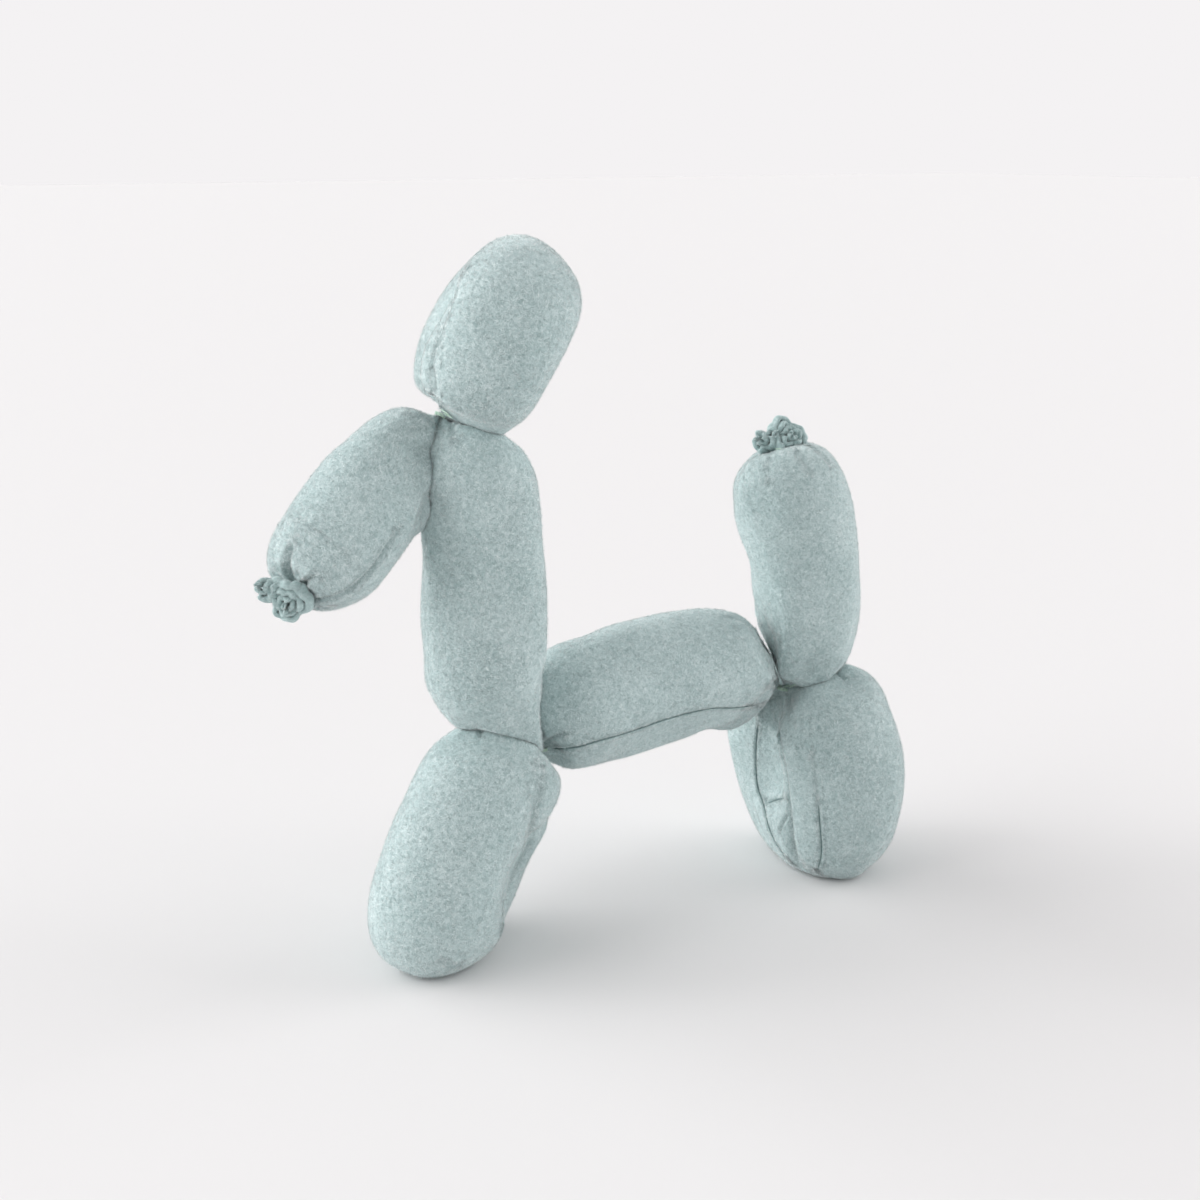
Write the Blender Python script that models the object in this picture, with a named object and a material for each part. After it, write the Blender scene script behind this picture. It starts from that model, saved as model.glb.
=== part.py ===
"""Balloon dog soft toy: stuffed bubbles of one sewn tube, tied off in line. Metres, +Z up.

The dog stands along X with its snout toward -X. Every bubble is a closed ring loft about its own
path, drawn in to a pinch point at each tie and pressed flat where its neighbours lie on it.
"""
import math

import bmesh
import bpy
import numpy as np
from mathutils import Matrix, Vector

for old in list(bpy.data.objects):
    bpy.data.objects.remove(old, do_unlink=True)

# Driving dimensions, in metres
TUBE_RADIUS = 0.030
GAP = 0.0004
PRESS = 0.0026
THREAD = 0.0009
TIE_RADIUS = 0.0030
KNOT_RADIUS = 0.0122
KNOT_HEIGHT = 0.0110
DIMPLE = 0.0015

# The three ties on the dog's middle plane, as (along, up)
HEAD_TIE = (-0.1074, 0.2431)
SHOULDER_TIE = (-0.0591, 0.0859)
HIP_TIE = (0.0859, 0.0913)

# Loose ends of the tube, as (along, up)
SNOUT_END = (-0.1790, 0.1765)
TAIL_END = (0.0795, 0.2130)

# Each bubble's path between its ends, as (along, up)
SNOUT_PATH = ((-0.1275, 0.2230), (-0.1450, 0.2050), (-0.1620, 0.1870))
NECK_PATH = ((-0.0915, 0.2150), (-0.0895, 0.1774), (-0.0875, 0.1180))
BODY_PATH = ((-0.0340, 0.1015), (0.0120, 0.1065), (0.0580, 0.1045))
TAIL_PATH = ((0.0955, 0.1180), (0.0920, 0.1535), (0.0835, 0.1930))

# Each folded pair's knee and the pivot of its fold, midway between the lobes, as (along, up)
EARS_PATH = ((-0.0902, 0.2562), (-0.0788, 0.2768))
FRONT_PATH = ((-0.0965, 0.0715), (-0.1045, 0.0392))
HIND_PATH = ((0.1075, 0.0800), (0.1060, 0.0405))

# How far each bubble lies across the dog, toward its right side
SNOUT_ACROSS = 0.004
NECK_ACROSS = -0.003
BODY_ACROSS = 0.004
TAIL_ACROSS = -0.003
EARS_ACROSS = 0.0
FRONT_ACROSS = 0.0
HIND_ACROSS = -0.005

# Radius of each bubble as a share of the tube's
SNOUT_GIRTH = 0.86
EARS_GIRTH = 0.91
NECK_GIRTH = 0.91
FRONT_GIRTH = 0.98
BODY_GIRTH = 1.02
HIND_GIRTH = 1.02
TAIL_GIRTH = 0.98

# Turn of each folded pair about the upright, from straight across the dog
EARS_TURN = math.radians(29.0)
FRONT_TURN = math.radians(49.5)
HIND_TURN = math.radians(12.0)

# Depth of the bend in a folded pair, and length of its tied end's dome, as shares of the radius
EARS_DEPTH = 0.90
LEG_DEPTH = 0.78
EARS_CAP = 1.1
FRONT_CAP = 1.2

# Slope of the flat where two bubbles press, seen from the dog's side, and its turn about the upright
NECK_EARS = (math.radians(-20.0), 0.2)
NECK_SNOUT = (math.radians(-103.0), 0.5)
EARS_SNOUT = (math.radians(150.0), 0.3)
NECK_FRONT = (math.radians(160.0), 0.2)
NECK_BODY = (math.radians(88.0), 0.5)
BODY_FRONT = (math.radians(-58.0), 0.2)
TAIL_BODY = (math.radians(112.0), 0.5)
TAIL_HIND = (math.radians(18.0), 0.2)
BODY_HIND = (math.radians(-140.0), 0.3)

AROUND = 28
LOOP_AROUND = 26


def point(pair, across=0.0):
    return np.array([pair[0], across, pair[1]])


def unit(v):
    return np.asarray(v, float) / np.linalg.norm(v)


def stations(count):
    """Steps from 0 to 1, closer together toward both ends."""
    k = np.linspace(0, 1, count)
    return 0.35 * k + 0.65 * (1 - np.cos(math.pi * k)) / 2


def path_through(points, samples=240):
    """Smooth path through the points, as places and their distance along it."""
    p = np.asarray(points, float)
    p = np.vstack([2 * p[0] - p[1], p, 2 * p[-1] - p[-2]])
    knots = np.concatenate([[0], np.cumsum(np.sqrt(np.linalg.norm(np.diff(p, axis=0), axis=1)))])
    out = []
    for i in range(1, len(p) - 2):
        t0, t1, t2, t3 = knots[i - 1:i + 3]
        for t in np.linspace(t1, t2, samples // (len(p) - 3), endpoint=False):
            a = (t1 - t) / (t1 - t0) * p[i - 1] + (t - t0) / (t1 - t0) * p[i]
            b = (t2 - t) / (t2 - t1) * p[i] + (t - t1) / (t2 - t1) * p[i + 1]
            c = (t3 - t) / (t3 - t2) * p[i + 1] + (t - t2) / (t3 - t2) * p[i + 2]
            d = (t2 - t) / (t2 - t0) * a + (t - t0) / (t2 - t0) * b
            e = (t3 - t) / (t3 - t1) * b + (t - t1) / (t3 - t1) * c
            out.append((t2 - t) / (t2 - t1) * d + (t - t1) / (t2 - t1) * e)
    out.append(p[-2])
    out = np.array(out)
    run = np.concatenate([[0], np.cumsum(np.linalg.norm(np.diff(out, axis=0), axis=1))])
    return out, run


def along(path, run, s):
    """Place and heading at a share s of the path."""
    at = s * run[-1]
    here = np.array([np.interp(at, run, path[:, k]) for k in range(3)])
    back = np.array([np.interp(max(at - 0.004, 0), run, path[:, k]) for k in range(3)])
    ahead = np.array([np.interp(min(at + 0.004, run[-1]), run, path[:, k]) for k in range(3)])
    return here, unit(ahead - back)


def dome(x, blunt):
    """Share of full girth at x, which is 0 at the pole and 1 or more beyond the cap."""
    x = min(max(x, 0.0), 1.0)
    return (1 - (1 - x) ** blunt) ** (1 / blunt)


def press(verts, foot, flat, keep, softness=PRESS):
    """Hold the skin on one side of the flat through foot, as the next bubble presses on it."""
    slope, turn = flat
    rise = np.array([math.cos(slope), 0.0, math.sin(slope)])
    across = np.array([math.sin(turn), math.cos(turn), 0.0])
    n = unit(np.cross(rise, across))
    if np.dot(np.asarray(keep) - foot, n) > 0:
        n = -n
    d = (verts - foot) @ n
    held = -GAP - softness * np.logaddexp(0.0, (-GAP - d) / softness)
    return verts + np.outer(held - d, n)


def clear_of_tie(verts, foot):
    """Keep the skin outside the small ball that the thread tie fills."""
    room = TIE_RADIUS + THREAD + GAP
    v = verts - foot
    far = np.linalg.norm(v, axis=1)
    grown = np.where(far < room, room, far)
    return foot + v * (grown / np.maximum(far, 1e-6))[:, None]


def finish_mesh(name, bm, cloth):
    bmesh.ops.recalc_face_normals(bm, faces=bm.faces)
    mesh = bpy.data.meshes.new(name)
    bm.to_mesh(mesh)
    bm.free()
    for face in mesh.polygons:
        face.use_smooth = True
    mesh.materials.append(cloth)
    obj = bpy.data.objects.new(name, mesh)
    bpy.context.scene.collection.objects.link(obj)
    return obj


def skin(verts, rings, around):
    """Closed skin from rings between a first and a last pole."""
    bm = bmesh.new()
    vs = [bm.verts.new(v) for v in verts]

    def on(r, k):
        return vs[1 + r * around + k % around]

    for k in range(around):
        bm.faces.new((vs[0], on(0, k + 1), on(0, k)))
        bm.faces.new((vs[-1], on(rings - 1, k), on(rings - 1, k + 1)))
    for r in range(rings - 1):
        for k in range(around):
            bm.faces.new((on(r, k), on(r, k + 1), on(r + 1, k + 1), on(r + 1, k)))
    return bm


def bubble(name, points, girth, cloth, presses, ties, caps=(0.95, 0.95), blunt=(2.3, 2.3),
           rings=18, dimple=0.0):
    """One stuffed bubble about a path from pole to pole."""
    path, run = path_through(points)
    r_full = TUBE_RADIUS * girth
    verts = [path[0]]
    for s in stations(rings + 2)[1:-1]:
        here, head = along(path, run, s)
        across = unit(np.array([0.0, 1.0, 0.0]) - head * head[1])
        up = np.cross(head, across)
        near = dome(s * run[-1] / (caps[0] * r_full), blunt[0])
        far = dome((1 - s) * run[-1] / (caps[1] * r_full), blunt[1])
        r = r_full * near * far
        if s > 0.5:
            here = here - head * dimple * math.exp(-(r / (0.3 * r_full)) ** 2)
        for k in range(AROUND):
            a = 2 * math.pi * k / AROUND
            verts.append(here + r * (math.cos(a) * across + math.sin(a) * up))
    verts.append(path[-1] - along(path, run, 1.0)[1] * dimple)
    verts = np.array(verts)
    middle = path[len(path) // 2]
    for foot, slope in presses:
        verts = press(verts, point(foot), slope, middle)
    for foot in ties:
        verts = clear_of_tie(verts, point(foot))
    return finish_mesh(name, skin(verts, rings, AROUND), cloth)


def folded_pair(name, points, girth, turn, cloth, presses, tie, depth, sole=None, caps=1.0,
                lobe_rings=9, bend_rings=9, slit=0.0005, together=0.78, square=0.12, spread=0.45,
                ease_in=0.5):
    """A bubble folded in a loop: down one lobe, round the bend at the far end and up the other."""
    start, knee, pivot = (np.asarray(p, float) for p in points)
    r_full = TUBE_RADIUS * girth
    side = np.array([math.sin(turn), math.cos(turn), 0.0])
    apart = together * r_full

    def lobe_centre(s, sign):
        """Place on a lobe's own path, and how far that lies from the middle of the pair."""
        b1, b2, b3 = 3 * (1 - s) ** 2 * s, 3 * (1 - s) * s * s, s ** 3
        first = start + spread * (knee - start)
        middle = (1 - s) ** 3 * start + b1 * first + b2 * knee + b3 * pivot
        gone = apart * (b1 * spread + b2 + b3)
        return middle + sign * gone * side, gone

    def own_side(rows, sign):
        """Keep a lobe on its own side of the surface where the two lobes meet."""
        steps = np.linspace(0, 1, 60)
        meet = np.array([(lobe_centre(s, 1)[0] + lobe_centre(s, -1)[0]) / 2 for s in steps])
        order = np.argsort(meet[:, 2])
        kept = []
        for row in rows:
            row = np.array(row)
            at = np.stack([np.interp(row[:, 2], meet[order, 2], meet[order, k]) for k in range(3)], axis=1)
            q = sign * ((row - at) @ side)
            clear = slit + 0.0012 * np.logaddexp(0.0, (q - slit) / 0.0012)
            kept.append(row + np.outer(sign * (clear - q), side))
        return kept

    def ring(centre, inward, out, r_in, r_out, limit):
        row = []
        for k in range(LOOP_AROUND):
            a = 2 * math.pi * k / LOOP_AROUND
            u = r_in * math.cos(a)
            soft = 0.0016
            u = limit - soft * np.logaddexp(0.0, (limit - u) / soft)
            row.append(centre + u * inward + r_out * math.sin(a) * out)
        return row

    def lobe(sign):
        rows = []
        steps = np.linspace(0, 1, 80)
        track = np.array([lobe_centre(s, sign)[0] for s in steps])
        length = np.concatenate([[0], np.cumsum(np.linalg.norm(np.diff(track, axis=0), axis=1))])
        for k in np.linspace(0, 1, lobe_rings + 2)[1:-1]:
            f = ease_in * k + (1 - ease_in) * k * k
            s = np.interp(f * length[-1], length, steps)
            centre, gone = lobe_centre(s, sign)
            head = unit(lobe_centre(min(s + 0.05, 1), sign)[0] - lobe_centre(max(s - 0.05, 0), sign)[0])
            inward = unit(-sign * side - head * np.dot(-sign * side, head))
            out = unit(np.cross(head, inward))
            r = r_full * dome(f * length[-1] / (caps * r_full), 2.3)
            limit = (gone - slit) / max(np.dot(inward, -sign * side), 0.4)
            rows.append(ring(centre, inward, out * sign, r, r, limit))
        return rows

    down = unit(pivot - knee)
    bend = []
    out = unit(np.cross(down, -side))
    for i in range(bend_rings):
        t = math.pi * i / (bend_rings - 1)
        away = math.cos(t) * side + math.sin(t) * down
        corner = 1 + square * math.sin(2 * t) ** 2
        half = corner * r_full * math.sqrt(math.cos(t) ** 2 + (depth * math.sin(t)) ** 2)
        reach = together * half
        bend.append(ring(pivot + reach * away, -away, out, half, r_full, reach - slit))
    rows = own_side(lobe(1), 1) + bend + own_side(lobe(-1), -1)[::-1]
    verts = [start + 0.004 * side]
    for row in rows:
        verts.extend(row)
    verts.append(start - 0.004 * side)
    verts = np.array(verts)
    for foot, flat in presses:
        verts = press(verts, point(foot), flat, pivot)
    verts = clear_of_tie(verts, point(tie))
    bm = skin(verts, len(rows), LOOP_AROUND)
    if sole is not None:
        geom = list(bm.verts) + list(bm.edges) + list(bm.faces)
        bmesh.ops.bisect_plane(bm, geom=geom, dist=1e-6, plane_co=(0, 0, sole), plane_no=(0, 0, -1),
                               clear_outer=True)
        rim = [e for e in bm.edges if e.is_boundary]
        if rim:
            bmesh.ops.contextual_create(bm, geom=rim)
    return finish_mesh(name, bm, cloth)


def rosette(name, foot, heading, cloth, folds, lean):
    """The gathered tube end beyond the last tie: a short stem opening into a ruffle."""
    head = unit(heading)
    across = unit(np.array([0.0, 1.0, 0.0]) - head * head[1])
    up = np.cross(head, across)
    profile = ((0.28, 0.00), (0.34, 0.20), (0.72, 0.42), (0.98, 0.52), (1.02, 0.72), (0.84, 0.93),
               (0.58, 1.00), (0.32, 0.90))
    verts = [foot + head * GAP]
    for share, height in profile:
        for k in range(AROUND):
            a = 2 * math.pi * k / AROUND
            ruffle = 1 + 0.13 * share * math.cos(folds * a + 2.5 * height) + 0.07 * share * math.cos(3 * a + 1)
            r = KNOT_RADIUS * share * ruffle
            h = KNOT_HEIGHT * (height + 0.10 * share * math.sin(folds * a + 1.2)) + GAP
            rim = lean * r * math.cos(a - 0.8) * height
            verts.append(foot + head * (h + rim + 0.0006) + r * (math.cos(a) * across + math.sin(a) * up))
    verts.append(foot + head * (KNOT_HEIGHT * 0.78))
    return finish_mesh(name, skin(np.array(verts), len(profile), AROUND), cloth)


def thread_ring(name, foot, heading, radius, cloth):
    """Wound thread, drawn as one closed ring."""
    bm = bmesh.new()
    around, section = 16, 8
    turn = Vector((0, 0, 1)).rotation_difference(Vector(unit(heading))).to_matrix().to_4x4()
    place = Matrix.Translation(Vector(foot)) @ turn
    rows = []
    for i in range(around):
        a = 2 * math.pi * i / around
        row = []
        for j in range(section):
            b = 2 * math.pi * j / section
            r = radius + THREAD * math.cos(b)
            row.append(bm.verts.new(place @ Vector((r * math.cos(a), r * math.sin(a), THREAD * math.sin(b)))))
        rows.append(row)
    for i in range(around):
        for j in range(section):
            bm.faces.new((rows[i][j], rows[(i + 1) % around][j], rows[(i + 1) % around][(j + 1) % section],
                          rows[i][(j + 1) % section]))
    return finish_mesh(name, bm, cloth)


def cloth_material(name, colour, roughness):
    mat = bpy.data.materials.new(name)
    mat.use_nodes = True
    shader = mat.node_tree.nodes["Principled BSDF"]
    shader.inputs["Base Color"].default_value = (*colour, 1.0)
    shader.inputs["Roughness"].default_value = roughness
    shader.inputs["Metallic"].default_value = 0.0
    return mat


wool = cloth_material("brushed_wool_cloth", (0.41, 0.52, 0.51), 0.95)
knot_wool = cloth_material("gathered_wool_cloth", (0.36, 0.46, 0.45), 0.95)
thread = cloth_material("sewing_thread", (0.42, 0.50, 0.44), 0.80)

head, shoulder, hip = HEAD_TIE, SHOULDER_TIE, HIP_TIE

def leg(tie, path, across=0.0):
    return [point(tie)] + [point(p, across) for p in path]


bubble("snout", leg(head, SNOUT_PATH, SNOUT_ACROSS) + [point(SNOUT_END)], SNOUT_GIRTH, wool,
       [(head, NECK_SNOUT), (head, EARS_SNOUT)], [head], caps=(1.3, 1.0), blunt=(2.3, 2.2), dimple=DIMPLE)
folded_pair("ears", leg(head, EARS_PATH, EARS_ACROSS), EARS_GIRTH, EARS_TURN, wool,
            [(head, NECK_EARS), (head, EARS_SNOUT)], head, EARS_DEPTH, square=0.05, caps=EARS_CAP,
            lobe_rings=7, ease_in=0.8)
bubble("neck", leg(head, NECK_PATH, NECK_ACROSS) + [point(shoulder)], NECK_GIRTH, wool,
       [(head, NECK_EARS), (head, NECK_SNOUT), (shoulder, NECK_FRONT), (shoulder, NECK_BODY)],
       [head, shoulder])
folded_pair("front_legs", leg(shoulder, FRONT_PATH, FRONT_ACROSS), FRONT_GIRTH, FRONT_TURN, wool,
            [(shoulder, NECK_FRONT), (shoulder, BODY_FRONT)], shoulder, LEG_DEPTH, sole=0.0,
            caps=FRONT_CAP, lobe_rings=8)
bubble("body", leg(shoulder, BODY_PATH, BODY_ACROSS) + [point(hip)], BODY_GIRTH, wool,
       [(shoulder, NECK_BODY), (shoulder, BODY_FRONT), (hip, TAIL_BODY), (hip, BODY_HIND)],
       [shoulder, hip])
folded_pair("hind_legs", leg(hip, HIND_PATH, HIND_ACROSS), HIND_GIRTH, HIND_TURN, wool,
            [(hip, TAIL_HIND), (hip, BODY_HIND)], hip, LEG_DEPTH, sole=0.0)
bubble("tail", leg(hip, TAIL_PATH, TAIL_ACROSS) + [point(TAIL_END)], TAIL_GIRTH, wool,
       [(hip, TAIL_BODY), (hip, TAIL_HIND)], [hip], caps=(0.95, 0.85), blunt=(2.3, 2.5),
       dimple=DIMPLE)

snout_out = unit(point(SNOUT_END) - point(SNOUT_PATH[2]))
tail_out = unit(point(TAIL_END) - point(TAIL_PATH[2]))
snout_knot_out = snout_out + np.array([0.0, -0.35, 0.0])
rosette("snout_knot", point(SNOUT_END) - snout_out * (DIMPLE - 0.0006), snout_knot_out, knot_wool, 7, 0.25)
rosette("tail_knot", point(TAIL_END) - tail_out * (DIMPLE - 0.0006), tail_out, knot_wool, 6, 0.15)
thread_ring("head_tie", point(head), (1, 0, 0.3), TIE_RADIUS, thread)
thread_ring("shoulder_tie", point(shoulder), (0.4, 0, 1), TIE_RADIUS, thread)
thread_ring("hip_tie", point(hip), (1, 0, 0.6), TIE_RADIUS, thread)

def centre_on_floor():
    """Move everything so that the middle of the whole dog's footprint is the origin."""
    skins = [o.data for o in bpy.data.objects if o.type == "MESH"]
    every = np.array([v.co[:] for m in skins for v in m.vertices])
    low, high = every.min(axis=0), every.max(axis=0)
    shift = np.array([-(low[0] + high[0]) / 2, -(low[1] + high[1]) / 2, -low[2]])
    for m in skins:
        m.transform(Matrix.Translation(Vector(shift)))
    return shift


SHIFT = centre_on_floor()
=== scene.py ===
# %% [markdown]
# # A balloon dog sewn from brushed wool cloth
# The real toy is one long tube of soft wool cloth, stuffed firmly and drawn in with thread, so that
# it copies a twisted party balloon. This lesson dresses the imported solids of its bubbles: the cloth is
# plumped by a simulation, seams and tucks are pressed into it, and a nap of short fibres is raised.

import math

import bmesh
import bpy
import numpy as np
from mathutils import Euler, Matrix, Vector
from mathutils.bvhtree import BVHTree
from mathutils.kdtree import KDTree


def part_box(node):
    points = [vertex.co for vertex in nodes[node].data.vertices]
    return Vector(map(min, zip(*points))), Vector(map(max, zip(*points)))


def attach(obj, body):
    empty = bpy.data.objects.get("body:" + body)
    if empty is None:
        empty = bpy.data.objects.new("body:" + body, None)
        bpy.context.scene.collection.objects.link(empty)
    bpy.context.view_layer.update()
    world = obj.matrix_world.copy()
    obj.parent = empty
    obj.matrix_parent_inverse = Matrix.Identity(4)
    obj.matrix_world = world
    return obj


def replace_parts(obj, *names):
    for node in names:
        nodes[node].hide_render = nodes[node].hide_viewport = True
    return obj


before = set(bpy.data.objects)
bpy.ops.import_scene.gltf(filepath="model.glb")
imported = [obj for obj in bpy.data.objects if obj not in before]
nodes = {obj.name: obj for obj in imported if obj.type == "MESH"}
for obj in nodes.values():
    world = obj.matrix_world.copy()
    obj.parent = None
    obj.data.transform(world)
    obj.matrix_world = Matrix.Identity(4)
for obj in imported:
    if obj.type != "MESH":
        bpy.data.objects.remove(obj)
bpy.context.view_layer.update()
print("nodes:", sorted(nodes))

# %% [markdown]
# ## Camera
# The photograph looks from the dog's front left, a little above it, through a lens of medium length.
# A real camera pointed the same way keeps every bubble's size and overlap as the picture has it.

# %% Camera
EYE = Vector((-0.5146, -0.7305, 0.3584))
DOWN_DEG = 13.0
ROUND_DEG = 35.0
TURN = Euler((math.radians(90.0 - DOWN_DEG), 0.0, math.radians(-ROUND_DEG)))
LENS_MM = 60.0
SENSOR_MM = 36.0
PICTURE = 1200
PICTURE_RIGHT = TURN.to_matrix() @ Vector((1, 0, 0))
PICTURE_UP = TURN.to_matrix() @ Vector((0, 1, 0))
PICTURE_IN = TURN.to_matrix() @ Vector((0, 0, -1))
FLOOR_IN = Vector((math.sin(math.radians(ROUND_DEG)), math.cos(math.radians(ROUND_DEG)), 0))

camera_data = bpy.data.cameras.new("camera")
camera_data.lens = LENS_MM
camera_data.sensor_width = SENSOR_MM
camera_data.clip_start = 0.01
camera_data.clip_end = 50.0
camera = bpy.data.objects.new("camera", camera_data)
camera.location = EYE
camera.rotation_euler = TURN
bpy.context.scene.collection.objects.link(camera)
bpy.context.scene.camera = camera


def sight(x, y):
    """Direction in which the camera sees a point of the picture, in its 1200 x 1200 pixels."""
    pixel = SENSOR_MM / LENS_MM / PICTURE
    way = Vector(((x - PICTURE / 2) * pixel, (PICTURE / 2 - y) * pixel, -1.0))
    return (TURN.to_matrix() @ way).normalized()


print("camera at", [round(v, 3) for v in EYE])

# %% [markdown]
# ## Cloth from a solid
# A stuffed bubble is a cloth bag under pressure. Each bag starts as the CAD solid's own rings, so it
# keeps that shape. Its loose triangles are merged and joined back into four-sided faces, because a
# subdivision surface rounds those evenly, and a grid of small faces is what a cloth simulation needs.

# %% Bag made from a CAD node
def points_of(mesh):
    """The mesh's vertices as rows of x, y and z."""
    flat = np.empty(len(mesh.vertices) * 3, np.float32)
    mesh.vertices.foreach_get("co", flat)
    return flat.reshape(-1, 3).astype(float)


def set_points(mesh, places):
    mesh.vertices.foreach_set("co", np.asarray(places, np.float32).ravel())
    mesh.update()


def normals_of(mesh):
    flat = np.empty(len(mesh.vertices) * 3, np.float32)
    mesh.vertex_normals.foreach_get("vector", flat)
    return flat.reshape(-1, 3).astype(float)


def applied(piece):
    """The piece's mesh takes the shape its modifiers show, and they are removed."""
    shown = piece.evaluated_get(bpy.context.evaluated_depsgraph_get())
    mesh = bpy.data.meshes.new_from_object(shown)
    piece.modifiers.clear()
    old = piece.data
    piece.data = mesh
    bpy.data.meshes.remove(old)
    mesh.name = piece.name
    return piece


def rounded(piece, levels):
    """The piece's faces are divided and rounded this many times."""
    smooth = piece.modifiers.new("round", "SUBSURF")
    smooth.levels = levels
    smooth.render_levels = levels
    return applied(piece)


def new_object(name, shape):
    """A new object at the origin that takes the shape of a bmesh."""
    mesh = bpy.data.meshes.new(name)
    shape.to_mesh(mesh)
    shape.free()
    made = bpy.data.objects.new(name, mesh)
    bpy.context.scene.collection.objects.link(made)
    return made


def bag_from(name):
    """A copy of a CAD node as a bag of four-sided faces, about 2 mm across."""
    shape = bmesh.new()
    shape.from_mesh(nodes[name].data)
    bmesh.ops.remove_doubles(shape, verts=shape.verts[:], dist=1e-6)
    bmesh.ops.join_triangles(shape, faces=shape.faces[:], angle_face_threshold=math.radians(60),
                             angle_shape_threshold=math.radians(60))
    bmesh.ops.recalc_face_normals(shape, faces=shape.faces[:])
    return rounded(new_object(name + "_cloth", shape), 2)


BUBBLES = ("snout", "ears", "neck", "front_legs", "body", "hind_legs", "tail")
bags = {name: bag_from(name) for name in BUBBLES}
for name, bag in bags.items():
    print(name, len(bag.data.polygons), "faces")

# %% [markdown]
# ## Plumping
# Polyester filling pushes the cloth outward everywhere except where thread holds it. Blender's Cloth
# with pressure does the same. The bag starts a little smaller, its tied ends are pinned, and the
# cloth is cut slightly long, so that it rounds out and keeps a few soft hollows near the ties.

# %% Plump a bag with cloth pressure
TIES = {name: (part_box(name)[0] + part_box(name)[1]) / 2
        for name in ("head_tie", "shoulder_tie", "hip_tie", "snout_knot", "tail_knot")}
HELD_AT = {"snout": ("head_tie", "snout_knot"), "ears": ("head_tie",), "neck": ("head_tie", "shoulder_tie"),
           "front_legs": ("shoulder_tie",), "body": ("shoulder_tie", "hip_tie"),
           "hind_legs": ("hip_tie",), "tail": ("hip_tie", "tail_knot")}
HELD_MM = 9.0
print("ties:", {name: [round(v, 4) for v in at] for name, at in TIES.items()})


def plump(name, bag, pressure=4.0, steps=20, slack=0.05, cap=0.0025, inset=0.0010):
    """Cloth pressure rounds the bag out, and no point moves further than cap from the CAD surface."""
    start = points_of(bag.data)
    set_points(bag.data, start - normals_of(bag.data) * inset)
    held = bag.vertex_groups.new(name="held")
    reach = np.min([np.linalg.norm(start - np.array(TIES[t]), axis=1) for t in HELD_AT[name]], axis=0)
    held.add([int(i) for i in np.nonzero(reach < HELD_MM / 1000)[0]], 1.0, "REPLACE")
    cloth = bag.modifiers.new("cloth", "CLOTH")
    rules = cloth.settings
    rules.quality = 6
    rules.mass = 0.1
    rules.tension_stiffness = 20
    rules.compression_stiffness = 20
    rules.shear_stiffness = 8
    rules.bending_stiffness = 1.5
    rules.shrink_min = -slack
    rules.use_pressure = True
    rules.uniform_pressure_force = pressure
    rules.vertex_group_mass = "held"
    rules.effector_weights.gravity = 0
    cloth.point_cache.frame_start = 1
    cloth.point_cache.frame_end = steps
    for step in range(1, steps + 1):
        bpy.context.scene.frame_set(step)
    shown = bag.evaluated_get(bpy.context.evaluated_depsgraph_get())
    moved = points_of(shown.data) - start
    bag.modifiers.clear()
    bag.vertex_groups.clear()
    length = np.linalg.norm(moved, axis=1, keepdims=True)
    set_points(bag.data, start + moved * np.minimum(1.0, cap / np.maximum(length, 1e-9)))
    print(name, "plumped by", round(float(np.minimum(length, cap).mean()) * 1000, 2), "mm on average")


# %% [markdown]
# ## Each bubble on its own side
# Two stuffed bubbles of the toy press on each other, and neither enters the other. Each bag is plumped
# alone, which is quicker, so points that swelled past the middle of the valley between two solids
# are taken part of the way back. None goes below the floor.

# %% Keep a bag on its own side
FLOOR_GAP = 0.0003
VALLEY_MM = 6.0


def set_above_floor(mesh, places):
    """Moves the mesh's vertices, and none of them goes below the floor."""
    places[:, 2] = np.maximum(places[:, 2], FLOOR_GAP)
    set_points(mesh, places)


def tree_of(mesh):
    """A search tree of the mesh's faces."""
    return BVHTree.FromPolygons([v.co for v in mesh.vertices], [p.vertices for p in mesh.polygons])


cad_trees = {name: tree_of(nodes[name].data) for name in BUBBLES}


def beyond(tree, spot):
    """How far a point is outside a closed surface, less than zero inside it."""
    there, normal, _, far = tree.find_nearest(spot)
    return far if (Vector(spot) - there).dot(normal) > 0 else -far


def keep_to_own_side(name, bag, start):
    """Where two bubbles meet, each swells no further than the middle of the valley between them."""
    places = points_of(bag.data)
    others = [tree for other, tree in cad_trees.items() if other != name]
    held_back = 0
    for i, place in enumerate(places):
        near = [tree for tree in others if tree.find_nearest(place, VALLEY_MM / 1000)[0] is not None]
        if not near:
            continue
        for share in (1.0, 0.75, 0.5, 0.25, 0.0):
            spot = start[i] + (place - start[i]) * share
            if share == 0.0:
                break
            outside = beyond(cad_trees[name], spot)
            if all(outside <= beyond(tree, spot) - 0.0001 for tree in near):
                break
        held_back += share < 1.0
        places[i] = spot
    set_above_floor(bag.data, places)
    print(name, "held back at", held_back, "points")


# %% [markdown]
# ## One skin for a folded bubble
# The ears and each set of legs are one bubble folded double. Their solids cross slightly beside the
# tie, where the two halves come together and the toy shows one smooth skin. So the bag is swelled
# until its halves meet, gridded anew as one skin, and drawn back by as much.

# %% Join the halves, and plump every bag
# How far each folded bubble is swelled, in mm: half the width of the cleft that its cloth bridges
LOOPS = {"ears": 6.5, "front_legs": 4.5, "hind_legs": 4.5}
SKIN_MM = 2.0


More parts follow.
